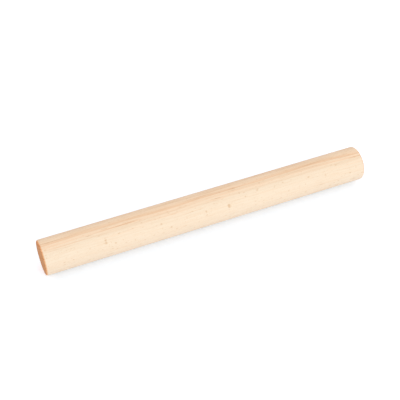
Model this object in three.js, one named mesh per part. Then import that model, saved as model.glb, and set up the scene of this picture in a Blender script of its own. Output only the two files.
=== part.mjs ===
// Straight rolling pin: one rod of beech, turned to a plain cylinder, with flat ends and eased rims.
// Millimetres, +Z up. The origin is the middle of the rod, on the axis it rolls about, which is X.
import * as THREE from "three";

// Driving dimensions
const LENGTH = 290; // from one flat end to the other
const DIAMETER = 30; // the same all along, with no taper
const RIM_RADIUS = 1.6; // quarter round that breaks the sharp corner at each end

// Fineness of the round surfaces
const FACETS_AROUND = 56;
const RIM_DIVISIONS = 3; // each rim is drawn with twice as many steps

const BEECH = new THREE.MeshStandardMaterial({ color: 0xe9cdaa, roughness: 0.55, metalness: 0 });

// Half section of the rod: distance from the axis across, place along the axis up.
function rodProfile() {
  const radius = DIAMETER / 2;
  const end = LENGTH / 2;
  const rim = Math.min(RIM_RADIUS, radius);
  const profile = new THREE.Path();
  profile.moveTo(0, -end);
  profile.lineTo(radius - rim, -end);
  profile.absarc(radius - rim, rim - end, rim, -Math.PI / 2, 0, false);
  profile.lineTo(radius, end - rim);
  profile.absarc(radius - rim, end - rim, rim, 0, Math.PI / 2, false);
  profile.lineTo(0, end);
  return profile.getPoints(RIM_DIVISIONS);
}

// The rod itself. Half a facet of turn puts a facet, not an edge, straight down where the pin lies.
function turnedRod() {
  const halfFacet = Math.PI / FACETS_AROUND;
  const rod = new THREE.Mesh(new THREE.LatheGeometry(rodProfile(), FACETS_AROUND, halfFacet), BEECH);
  rod.name = "turned_rod";
  rod.rotation.z = -Math.PI / 2; // the lathe turns about Y, and the pin lies along X
  return rod;
}

const rollingPin = new THREE.Group();
rollingPin.add(turnedRod());

export default rollingPin;
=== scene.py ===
"""Looks of a straight rolling pin, turned from one piece of beech. Metres, in the part's own frame."""
import math

import bmesh
import bpy
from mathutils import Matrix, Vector


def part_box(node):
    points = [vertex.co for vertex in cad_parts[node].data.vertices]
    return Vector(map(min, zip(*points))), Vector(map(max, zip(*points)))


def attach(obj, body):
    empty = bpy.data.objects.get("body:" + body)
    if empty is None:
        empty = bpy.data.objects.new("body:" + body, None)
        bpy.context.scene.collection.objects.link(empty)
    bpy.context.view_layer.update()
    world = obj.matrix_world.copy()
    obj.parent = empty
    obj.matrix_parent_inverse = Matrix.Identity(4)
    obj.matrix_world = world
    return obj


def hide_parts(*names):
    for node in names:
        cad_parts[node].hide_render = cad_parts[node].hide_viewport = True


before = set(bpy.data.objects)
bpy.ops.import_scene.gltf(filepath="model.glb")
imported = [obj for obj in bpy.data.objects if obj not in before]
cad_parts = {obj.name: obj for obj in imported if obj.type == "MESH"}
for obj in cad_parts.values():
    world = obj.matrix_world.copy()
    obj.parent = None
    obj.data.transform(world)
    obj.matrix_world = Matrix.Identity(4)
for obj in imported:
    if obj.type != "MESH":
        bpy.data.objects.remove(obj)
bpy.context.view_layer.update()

# Sizes of the rod, from the frame but for its rim
ROD_LOW, ROD_HIGH = (Vector(corner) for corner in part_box("turned_rod"))
CENTRE = (ROD_LOW + ROD_HIGH) / 2
HALF_LENGTH = (ROD_HIGH.x - ROD_LOW.x) / 2
RADIUS = (ROD_HIGH.z - ROD_LOW.z) / 2
RIM_RADIUS = 0.0016

# Fineness of its mesh
SIDES = 192
RIM_STEPS = 8
BARREL_STEPS = 60
RING_SPOTS = 8  # in the first ring of an end face's grid. Ring k has k times as many.
FACE_RINGS = SIDES // RING_SPOTS

# Where its surface lies on the square picture that its colours are baked to: side below, ends above
BAKE_MARGIN = 0.005
BAKE_SIDE_TOP = 0.78
BAKE_END_RADIUS = 0.1
BAKE_END_CENTRES = {-1: (0.15, 0.89), 1: (0.45, 0.89)}

# How the rod lay in the tree, in millimetres and radians
PITH_DISTANCE = 52.0  # from the rod's axis to the pith
PITH_TURN = math.radians(-73)  # about the rod's axis, which brings the pith to +Y
TRUNK_HEIGHT = 2985.5  # of the rod's middle
TO_MILLIMETRES = (1000, 1000, 1000)

# Bends of the grain, in millimetres: their size along and across the rod, and their reach from side to side
SWAY_SIZE = (170, 0, 0)
SWAY = (0, 5, 5)
WAVE_SIZE = (80, 11, 11)
WAVE = (0, 2.2, 2.2)

# Growth rings, in millimetres, years and shares of a year
RING_WIDTH = 2.6
UNEVEN_SIZE = 6.0
UNEVEN_YEARS = 2.0
LATE_WOOD_DEEPENS = (0.25, 0.9)
LATE_WOOD_FADES = (1.0, 0.86)

# Sizes of patterns in the wood, in millimetres along the trunk, out from the pith and round it
STREAK_SIZE = (48, 1.9, 1.9)
VEIN_SIZE = (60, 0.95, 0.95)
FIBRE_SIZE = (14, 0.32, 0.32)
PORE_SIZE = (1.5, 0.11, 0.11)
RAY_EDGE_SIZE = (4, 0.6, 0.6)

# Rays: cells in the same millimetres, how rare large ones are, and the shares of a cell that they fill
BROAD_RAYS = {"cell": (4.0, 24, 0.46), "rarity": 2.0, "shares": (0.02, 0.51)}
DASH_RAYS = {"cell": (16.0, 9, 0.6), "rarity": 4.0, "shares": (0.03, 0.36)}
THREAD_RAYS = {"cell": (2.0, 6, 0.17), "rarity": 2.0, "shares": (0.15, 0.48)}
RAY_EDGE = (0.2, 0.06, 0.25)  # how ragged their edges are, as shares of a cell
RAY_FADE = (1.0, 0.3)  # shares of the way out to the edge where a ray is gone and where it is full
RAY_SHAPE = 1.5  # between 1, a diamond, and 2, an ellipse

# Values of the noise between which each pattern comes in
STREAK_RANGE = (0.48, 0.7)
VEIN_RANGE = (0.57, 0.72)
FIBRE_RANGE = (0.45, 0.8)
PORE_RANGE = (0.58, 0.75)

# Heartwood: where it starts and where it is full, in millimetres from the pith with the streaks' push added
HEART_REACH = (58.8, 47.2)
HEART_PUSH = 22.0

# How strongly each pattern colours the wood. Pairs are for sapwood and heartwood.
STREAK_STRENGTH = (0.2, 1.0)
RING_STRENGTH = (0.2, 0.75)
VEIN_STRENGTH = (0.15, 1.0)
FIBRE_STRENGTH = 0.65
PORE_STRENGTH = 0.5
THREAD_STRENGTH = 0.5
END_RING_STRENGTH = 0.6
END_RAY_STRENGTH = 0.4
END_FLECK_STRENGTH = 0.7
PALEST_YEAR = 0.25
PALEST_RAY = 0.3

# Which way the surface faces: how squarely to the pith for dashes, and how far along the rod for its ends
SQUARE_RANGE = (0.1, 0.7)
RIM_RANGE = (0.12, 0.8)
FLAT_RANGE = (0.82, 1.0)

# Gloss and relief. The roughness of ends and flecks is added to that of the side.
GLOSS = 0.2
ROUGHNESS = (0.46, 0.6)
END_ROUGHNESS = 0.18
FLECK_ROUGHNESS = -0.08
PORE_RELIEF = -1.0
FIBRE_RELIEF = -0.8
RING_RELIEF = 0.5
RELIEF_STRENGTH = 0.35
RELIEF_HEIGHT = 0.00004

# Floor: the lift that shows it white, and a weaker one in a patch in front, a painted shadow added to the
# rod's real shadow there, with bounds from none to full
FLOOR_REACH = 4.0
FLOOR_COLOUR = (0.905, 0.91, 0.97, 1)
FLOOR_LIFT = (0.335, 0.37, 0.39, 1)
PAINTED_SHADOW_LIFT = (0.155, 0.228, 0.257, 1)
PAINTED_SHADOW_ENDS = (HALF_LENGTH + 0.006, HALF_LENGTH - 0.01)
PAINTED_SHADOW_START = (0.0, -0.5 * RADIUS)
PAINTED_SHADOW_STOP = (-4 * RADIUS, -2 * RADIUS)

# Light: an even one from all round, and a wide lamp on the camera's side
WHITE = (1, 1, 1, 1)
WORLD_LIGHT = 0.767
KEY_POWER = 5.62
KEY_SIZE = (1.2, 0.8)
KEY_AZIMUTH = math.radians(5)
KEY_ELEVATION = math.radians(34)
KEY_DISTANCE = 1.3

# Camera: its direction, its distance and shifts in metres, and its lens in millimetres
CAMERA_ELEVATION = math.radians(43.75)
CAMERA_TURN = math.radians(23.43)
CAMERA_DISTANCE = 0.7419
CAMERA_RIGHT = -0.00615
CAMERA_UP = 0.00654
CAMERA_LENS = 78.95
CAMERA_SENSOR = 36.0


def add_object(name, data):
    """A new object in the scene."""
    added = bpy.data.objects.new(name, data)
    bpy.context.collection.objects.link(added)
    return added


# The rod's mesh

def ring_angle(place, count):
    return 2 * math.pi * place / count


def face_spot(i, j):
    """Radius, from 0 to 1, and angle of a spot of an end face's grid. Its square rings become round."""
    ring = max(abs(i), abs(j))
    if ring == 0:
        return 0.0, 0.0
    if i == ring and j > -ring:
        place = j
    elif j == ring:
        place = 2 * ring - i
    elif i == -ring:
        place = 4 * ring - j
    else:
        place = 6 * ring + i
    return ring / FACE_RINGS, ring_angle(place, RING_SPOTS * ring)


class RodMesh:
    """A rod turned about X, with eased rims. Its end faces are grids of four-sided faces."""

    def __init__(self):
        self.mesh = bmesh.new()
        self.bake = self.mesh.loops.layers.uv.new("OFBake")
        self.normals = []

    def add_vertex(self, x, radius, angle, lean):
        """A vertex whose normal leans from the radius, 0, to the rod's own direction, +1 or -1."""
        outward = Vector((0, math.cos(angle), math.sin(angle)))
        tilt = lean * math.pi / 2
        self.normals.append(Vector((math.sin(tilt), 0, 0)) + outward * math.cos(tilt))
        return self.mesh.verts.new(CENTRE + Vector((x, 0, 0)) + outward * radius)

    def add_face(self, corners, spots):
        """A face, and where its corners lie on the baked picture."""
        for loop, spot in zip(self.mesh.faces.new(corners).loops, spots):
            loop[self.bake].uv = spot

    def add_ring(self, x, radius, lean):
        return [self.add_vertex(x, radius, ring_angle(k, SIDES), lean) for k in range(SIDES)]

    def add_rim_ring(self, end, step):
        turn = math.pi / 2 * step / RIM_STEPS
        x = end * (HALF_LENGTH - RIM_RADIUS + RIM_RADIUS * math.cos(turn))
        radius = RADIUS - RIM_RADIUS + RIM_RADIUS * math.sin(turn)
        return self.add_ring(x, radius, end * (1 - step / RIM_STEPS))

    def add_barrel_ring(self, step):
        reach = HALF_LENGTH - RIM_RADIUS
        return self.add_ring(-reach + 2 * reach * step / BARREL_STEPS, RADIUS, 0)

    def add_end_face(self, end):
        """The grid of the flat end at +1 or -1. Returns its outer ring in order of angle."""
        grid = {}
        spots = {}
        outer = {}
        centre = Vector(BAKE_END_CENTRES[end])
        for i in range(-FACE_RINGS, FACE_RINGS + 1):
            for j in range(-FACE_RINGS, FACE_RINGS + 1):
                share, angle = face_spot(i, j)
                grid[i, j] = self.add_vertex(end * HALF_LENGTH, share * (RADIUS - RIM_RADIUS), angle, end)
                toward = Vector((math.cos(angle), math.sin(angle)))
                spots[i, j] = centre + toward * share * BAKE_END_RADIUS
                if max(abs(i), abs(j)) == FACE_RINGS:
                    outer[round(angle * SIDES / (2 * math.pi)) % SIDES] = grid[i, j]
        for i in range(-FACE_RINGS, FACE_RINGS):
            for j in range(-FACE_RINGS, FACE_RINGS):
                corners = [(i, j), (i + 1, j), (i + 1, j + 1), (i, j + 1)][::end]
                self.add_face([grid[corner] for corner in corners], [spots[corner] for corner in corners])
        return [outer[k] for k in range(SIDES)]

    def add_skin(self, rings):
        """The faces from each ring to the next, as long on the baked picture as their share of the rod."""
        spans = [(high[0].co - low[0].co).length for low, high in zip(rings, rings[1:])]
        bake_length = (1 - 2 * BAKE_MARGIN) / sum(spans)
        bake_height = (BAKE_SIDE_TOP - BAKE_MARGIN) / SIDES
        left = BAKE_MARGIN
        for low, high, span in zip(rings, rings[1:], spans):
            right = left + span * bake_length
            for k in range(SIDES):
                after = (k + 1) % SIDES
                bottom = BAKE_MARGIN + k * bake_height
                top = bottom + bake_height
                self.add_face((low[k], low[after], high[after], high[k]),
                              ((left, bottom), (left, top), (right, top), (right, bottom)))
            left = right

    def finish(self, name):
        data = bpy.data.meshes.new(name)
        self.mesh.to_mesh(data)
        self.mesh.free()
        data.shade_smooth()
        data.normals_split_custom_set_from_vertices(self.normals)
        return add_object(name, data)


def make_rod():
    rod_mesh = RodMesh()
    rings = [rod_mesh.add_end_face(-1)]
    rings += [rod_mesh.add_rim_ring(-1, step) for step in range(1, RIM_STEPS)]
    rings += [rod_mesh.add_barrel_ring(step) for step in range(BARREL_STEPS + 1)]
    rings += [rod_mesh.add_rim_ring(1, step) for step in range(RIM_STEPS - 1, 0, -1)]
    rings.append(rod_mesh.add_end_face(1))
    rod_mesh.add_skin(rings)
    return rod_mesh.finish("beech_rod")


# Materials

class Nodes:
    """Short ways to add and link the nodes of one material or world."""

    def __init__(self, owner):
        owner.use_nodes = True
        self.tree = owner.node_tree
        self.tree.nodes.clear()

    def add(self, kind, inputs=None, **settings):
        node = self.tree.nodes.new(kind)
        for name, value in settings.items():
            setattr(node, name, value)
        for name, value in (inputs or {}).items():
            self.fill(node.inputs[name], value)
        return node

    def fill(self, socket, value):
        if isinstance(value, bpy.types.NodeSocket):
            self.tree.links.new(value, socket)
        else:
            socket.default_value = value

    def maths(self, operation, *values):
        return self.add("ShaderNodeMath", dict(enumerate(values)), operation=operation).outputs[0]

    def vector_maths(self, operation, *values):
        return self.add("ShaderNodeVectorMath", dict(enumerate(values)), operation=operation).outputs[0]

    def product(self, *values):
        result = values[0]
        for value in values[1:]:
            result = self.maths("MULTIPLY", result, value)
        return result

    def span(self, value, low, high):
        """A value from 0 to 1, laid out from low to high."""
        return self.maths("MULTIPLY_ADD", value, high - low, low)

    def step(self, value, low, high):
        """A soft step: 0 where value is at low, 1 where it is at high, which may be the smaller."""
        places = {"Value": value, "From Min": low, "From Max": high}
        return self.add("ShaderNodeMapRange", places, interpolation_type="SMOOTHSTEP").outputs["Result"]

    def vector(self, x, y, z):
        return self.add("ShaderNodeCombineXYZ", {"X": x, "Y": y, "Z": z}).outputs[0]

    def parts(self, vector):
        return self.add("ShaderNodeSeparateXYZ", {"Vector": vector}).outputs

    def grains(self, vector, sizes):
        """The vector counted in grains of these sizes, so that a pattern has about one feature to each.

        A size of 0 stands for a pattern that doesn't change that way.
        """
        return self.vector_maths("MULTIPLY", vector, [1 / size if size else 0 for size in sizes])

    def push(self, vector, by, amount):
        """The vector moved by a noise's colour, by up to half of amount either way."""
        middle = (0.5, 0.5, 0.5)
        centred = self.vector_maths("SUBTRACT", by, middle)
        return self.vector_maths("MULTIPLY_ADD", centred, amount, vector)

    def noise(self, vector, detail=2.0, roughness=0.5):
        inputs = {"Vector": vector, "Scale": 1.0, "Detail": detail, "Roughness": roughness}
        return self.add("ShaderNodeTexNoise", inputs).outputs

    def colours(self, blend, amount, below, above):
        mix = self.add("ShaderNodeMix", data_type="RGBA", blend_type=blend)
        factor, low, high = mix.inputs[0], mix.inputs[6], mix.inputs[7]
        self.fill(factor, amount)
        self.fill(low, below)
        self.fill(high, above)
        return mix.outputs[2]

    def toward(self, amount, below, above):
        return self.colours("MIX", amount, below, above)

    def shade(self, amount, colour, by):
        return self.colours("MULTIPLY", amount, colour, by)

    def output(self, kind, shader):
        self.add(kind, {"Surface": shader})


def srgb(red, green, blue):
    """A colour as seen on screen, from 0 to 255, as the linear colour that nodes take."""
    def linear(value):
        value /= 255
        return value / 12.92 if value <= 0.04045 else ((value + 0.055) / 1.055) ** 2.4
    return linear(red), linear(green), linear(blue), 1.0


# Colours of beech. Each shade is multiplied into the colour under it.
SAPWOOD = srgb(247, 229, 204)
HEARTWOOD = srgb(255, 227, 197)
STREAK_SHADE = srgb(251, 231, 211)
RING_SHADE = srgb(246, 227, 210)
VEIN_SHADE = srgb(238, 226, 214)
FIBRE_SHADE = srgb(248, 232, 216)
PORE_SHADE = srgb(242, 222, 202)
THREAD_SHADE = srgb(236, 216, 192)
DASH_SHADE = srgb(220, 200, 178)
BROAD_RAY_SHADE = srgb(237, 223, 206)
RIM_SHADE = srgb(255, 207, 161)
END_SHADE = srgb(224, 172, 126)
END_RING_SHADE = srgb(220, 190, 156)
END_RAY_COLOUR = srgb(228, 189, 143)


def timber_place(n, spot, normal):
    """Where a spot lies in the tree: millimetres along it, out from its pith and round its pith.

    The last value is how squarely the surface faces the pith, from 0, along a ray, to 1.
    """
    def turned(vector):
        inputs = {"Vector": vector, "Angle": PITH_TURN}
        return n.add("ShaderNodeVectorRotate", inputs, rotation_type="X_AXIS").outputs[0]

    straight = turned(n.vector_maths("MULTIPLY_ADD", spot, TO_MILLIMETRES, (TRUNK_HEIGHT, 0, 0)))
    sway = n.noise(n.grains(straight, SWAY_SIZE), detail=1.0)["Color"]
    wave = n.noise(n.grains(straight, WAVE_SIZE), detail=2.0)["Color"]
    axes = n.parts(n.push(n.push(straight, sway, SWAY), wave, WAVE))
    to_pith = n.maths("SUBTRACT", PITH_DISTANCE, axes["Y"])
    out = n.maths("SQRT", n.maths("MULTIPLY_ADD", to_pith, to_pith, n.product(axes["Z"], axes["Z"])))
    round_pith = n.product(n.maths("ARCTAN2", axes["Z"], to_pith), PITH_DISTANCE)
    facing = n.parts(turned(normal))
    square = n.maths("SUBTRACT", n.product(facing["Y"], to_pith), n.product(facing["Z"], axes["Z"]))
    square = n.maths("ABSOLUTE", n.maths("DIVIDE", square, out))
    return axes["X"], out, round_pith, square


def growth_rings(n, out):
    """How dark the late wood of each year's ring is. It deepens slowly, and fades as the year ends."""
    uneven = n.noise(n.vector(n.maths("DIVIDE", out, UNEVEN_SIZE), 0.0, 0.0), detail=1.0)["Fac"]
    years = n.maths("ADD", n.maths("DIVIDE", out, RING_WIDTH), n.product(uneven, UNEVEN_YEARS))
    season = n.maths("FRACT", years)
    late = n.product(n.step(season, *LATE_WOOD_DEEPENS), n.step(season, *LATE_WOOD_FADES))
    year = n.add("ShaderNodeTexWhiteNoise", {"W": n.maths("FLOOR", years)}, noise_dimensions="1D")
    return n.product(late, n.span(year.outputs["Value"], PALEST_YEAR, 1.0))


def rays(n, tree, cell, rarity, shares):
    """Spindles of ray tissue: sheets that run out from the pith, each in a cell of this size.

    They fill from the smaller share of their cells to the larger. Large ones are rarer, small ones paler.
    """
    ragged = n.noise(n.grains(tree, RAY_EDGE_SIZE), detail=3.0)["Color"]
    spot = n.push(n.grains(tree, cell), ragged, RAY_EDGE)
    inputs = {"Vector": spot, "Scale": 1.0, "Exponent": RAY_SHAPE}
    cells = n.add("ShaderNodeTexVoronoi", inputs, feature="F1", distance="MINKOWSKI").outputs
    chance = n.add("ShaderNodeSeparateColor", {"Color": cells["Color"]}).outputs["Red"]
    size = n.maths("POWER", chance, rarity)
    inside = n.step(n.maths("DIVIDE", cells["Distance"], n.span(size, *shares)), *RAY_FADE)
    return n.product(inside, n.span(size, PALEST_RAY, 1.0))


class Timber:
    """What a block of beech holds at each spot: how far out it is, in millimetres, and its patterns."""

    def __init__(self, n, spot, normal):
        along, self.out, round_pith, self.square = timber_place(n, spot, normal)
        tree = n.vector(along, self.out, round_pith)
        self.late = growth_rings(n, self.out)
        self.streak = n.noise(n.grains(tree, STREAK_SIZE), detail=3.0, roughness=0.6)["Fac"]
        self.vein = n.step(n.noise(n.grains(tree, VEIN_SIZE), detail=1.0)["Fac"], *VEIN_RANGE)
        self.fibre = n.noise(n.grains(tree, FIBRE_SIZE), detail=4.0, roughness=0.7)["Fac"]
        self.pore = n.step(n.noise(n.grains(tree, PORE_SIZE), detail=1.0)["Fac"], *PORE_RANGE)
        self.broad = rays(n, tree, **BROAD_RAYS)
        self.dash = rays(n, tree, **DASH_RAYS)
        self.thread = rays(n, tree, **THREAD_RAYS)


def wood_colour(n, timber):
    """Sapwood and heartwood with their streaks, rings, veins, fibres and pores, but no rays."""
    heart = n.step(n.maths("MULTIPLY_ADD", timber.streak, HEART_PUSH, timber.out), *HEART_REACH)
    streaks = n.product(n.step(timber.streak, *STREAK_RANGE), n.span(heart, *STREAK_STRENGTH))
    rings = n.product(timber.late, n.span(heart, *RING_STRENGTH))
    veins = n.product(timber.vein, n.span(heart, *VEIN_STRENGTH))
    fibres = n.product(n.step(timber.fibre, *FIBRE_RANGE), FIBRE_STRENGTH)
    colour = n.toward(heart, SAPWOOD, HEARTWOOD)
    colour = n.shade(streaks, colour, STREAK_SHADE)
    colour = n.shade(rings, colour, RING_SHADE)
    colour = n.shade(veins, colour, VEIN_SHADE)
    colour = n.shade(fibres, colour, FIBRE_SHADE)
    return n.shade(n.product(timber.pore, PORE_STRENGTH), colour, PORE_SHADE)


def side_colour(n, timber, wood):
    """The long side, where the rays show as threads, as dashes and as broad flecks."""
    squarely = n.step(timber.square, *SQUARE_RANGE)
    colour = n.shade(n.product(timber.thread, THREAD_STRENGTH), wood, THREAD_SHADE)
    colour = n.shade(n.product(timber.dash, squarely), colour, DASH_SHADE)
    return n.shade(timber.broad, colour, BROAD_RAY_SHADE)


def end_colour(n, timber, wood, flat):
    """The rims and the darker flat ends, with the rings as arcs and the rays as paler lines."""
    colour = n.shade(1.0, wood, n.toward(flat, RIM_SHADE, END_SHADE))
    colour = n.shade(n.product(timber.late, END_RING_STRENGTH), colour, END_RING_SHADE)
    flecks = n.product(n.maths("MAXIMUM", timber.broad, timber.dash), END_FLECK_STRENGTH)
    sheets = n.maths("MAXIMUM", timber.thread, flecks)
    return n.toward(n.product(sheets, END_RAY_STRENGTH), colour, END_RAY_COLOUR)


def wood_relief(n, timber):
    """Sanded wood: pores and dark fibres lie a little lower, late wood a little higher."""
    relief = n.maths("MULTIPLY_ADD", timber.pore, PORE_RELIEF, n.product(timber.fibre, FIBRE_RELIEF))
    relief = n.maths("MULTIPLY_ADD", timber.late, RING_RELIEF, relief)
    inputs = {"Height": relief, "Strength": RELIEF_STRENGTH, "Distance": RELIEF_HEIGHT}
    return n.add("ShaderNodeBump", inputs).outputs[0]


def beech():
    """Pale beech as a solid block of timber, which the rod is turned from."""
    material = bpy.data.materials.new("beech")
    n = Nodes(material)
    place = n.add("ShaderNodeTexCoord").outputs
    timber = Timber(n, place["Object"], place["Normal"])
    lean = n.maths("ABSOLUTE", n.parts(place["Normal"])["X"])
    flat = n.step(lean, *FLAT_RANGE)
    wood = wood_colour(n, timber)
    side = side_colour(n, timber, wood)
    colour = n.toward(n.step(lean, *RIM_RANGE), side, end_colour(n, timber, wood, flat))
    rough = n.maths("MULTIPLY_ADD", flat, END_ROUGHNESS, n.span(timber.fibre, *ROUGHNESS))
    rough = n.maths("MULTIPLY_ADD", timber.broad, FLECK_ROUGHNESS, rough)
    normal = wood_relief(n, timber)
    inputs = {"Base Color": colour, "Roughness": rough, "Normal": normal, "Specular IOR Level": GLOSS}
    shader = n.add("ShaderNodeBsdfPrincipled", inputs)
    n.output("ShaderNodeOutputMaterial", shader.outputs[0])
    return material


def seen_directly(n):
    """1 for what the camera sees, straight or in gloss or glass, and 0 for what only lights the rod."""
    path = n.add("ShaderNodeLightPath").outputs
    mirrored = n.maths("MAXIMUM", path["Is Glossy Ray"], path["Is Transmission Ray"])
    return n.maths("MAXIMUM", path["Is Camera Ray"], mirrored)


def studio_floor():
    """White floor, which the camera sees lifted to white, and less so in a patch in front: a painted shadow
    that deepens the rod's real shadow there.
    """
    material = bpy.data.materials.new("studio_floor")
    n = Nodes(material)
    plain = n.add("ShaderNodeBsdfDiffuse", {"Color": FLOOR_COLOUR})
    spot = n.parts(n.add("ShaderNodeTexCoord").outputs["Object"])
    # Painted shadow: in this patch in front of the rod the lift is weaker, which darkens the floor on top
    # of the real shadow that the rod casts.
    painted_shadow_along = n.step(n.maths("ABSOLUTE", spot["X"]), *PAINTED_SHADOW_ENDS)
    ahead = n.product(n.step(spot["Y"], *PAINTED_SHADOW_START), n.step(spot["Y"], *PAINTED_SHADOW_STOP))
    colour = n.toward(n.product(painted_shadow_along, ahead), FLOOR_LIFT, PAINTED_SHADOW_LIFT)
    lift = n.add("ShaderNodeEmission", {"Color": colour, "Strength": seen_directly(n)})
    lifted = n.add("ShaderNodeAddShader", {0: plain.outputs[0], 1: lift.outputs[0]})
    n.output("ShaderNodeOutputMaterial", lifted.outputs[0])
    return material


# The studio

def make_floor():
    mesh = bmesh.new()
    corners = [(-1, -1), (1, -1), (1, 1), (-1, 1)]
    mesh.faces.new([mesh.verts.new((x * FLOOR_REACH, y * FLOOR_REACH, ROD_LOW.z)) for x, y in corners])
    data = bpy.data.meshes.new("floor")
    mesh.to_mesh(data)
    mesh.free()
    data.materials.append(studio_floor())
    return add_object("floor", data)


def make_world():
    world = bpy.data.worlds.new("studio")
    n = Nodes(world)
    soft = n.add("ShaderNodeBackground", {"Color": WHITE, "Strength": WORLD_LIGHT})
    white = n.add("ShaderNodeBackground", {"Color": WHITE, "Strength": 1.0})
    mix = n.add("ShaderNodeMixShader", {0: seen_directly(n), 1: soft.outputs[0], 2: white.outputs[0]})
    n.output("ShaderNodeOutputWorld", mix.outputs[0])
    bpy.context.scene.world = world


def direction_from_rod(azimuth, elevation):
    """Azimuth 0 is -Y, the camera's side, and 90 degrees is +X."""
    level = math.cos(elevation)
    return Vector((math.sin(azimuth) * level, -math.cos(azimuth) * level, math.sin(elevation)))


def make_key():
    lamp = bpy.data.lights.new("key", "AREA")
    lamp.shape = "RECTANGLE"
    lamp.size, lamp.size_y = KEY_SIZE
    lamp.energy = KEY_POWER
    key = add_object("key", lamp)
    out = direction_from_rod(KEY_AZIMUTH, KEY_ELEVATION)
    key.location = CENTRE + out * KEY_DISTANCE
    key.rotation_euler = (-out).to_track_quat("-Z", "Y").to_euler()


def make_camera():
    ahead = -direction_from_rod(-CAMERA_TURN, CAMERA_ELEVATION)
    right = Vector((math.cos(CAMERA_TURN), -math.sin(CAMERA_TURN), 0))
    up = right.cross(ahead)
    data = bpy.data.cameras.new("camera")
    data.sensor_width = CAMERA_SENSOR
    data.lens = CAMERA_LENS
    camera = add_object("camera", data)
    camera.location = CENTRE - ahead * CAMERA_DISTANCE + right * CAMERA_RIGHT + up * CAMERA_UP
    camera.rotation_mode = "QUATERNION"
    camera.rotation_quaternion = ahead.to_track_quat("-Z", "Y")
    bpy.context.scene.camera = camera


make_camera()
make_world()
make_key()
make_floor()

rod = make_rod()
rod.data.materials.append(beech())
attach(rod, "root")
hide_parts("turned_rod")

bpy.context.scene.view_settings.view_transform = "Standard"
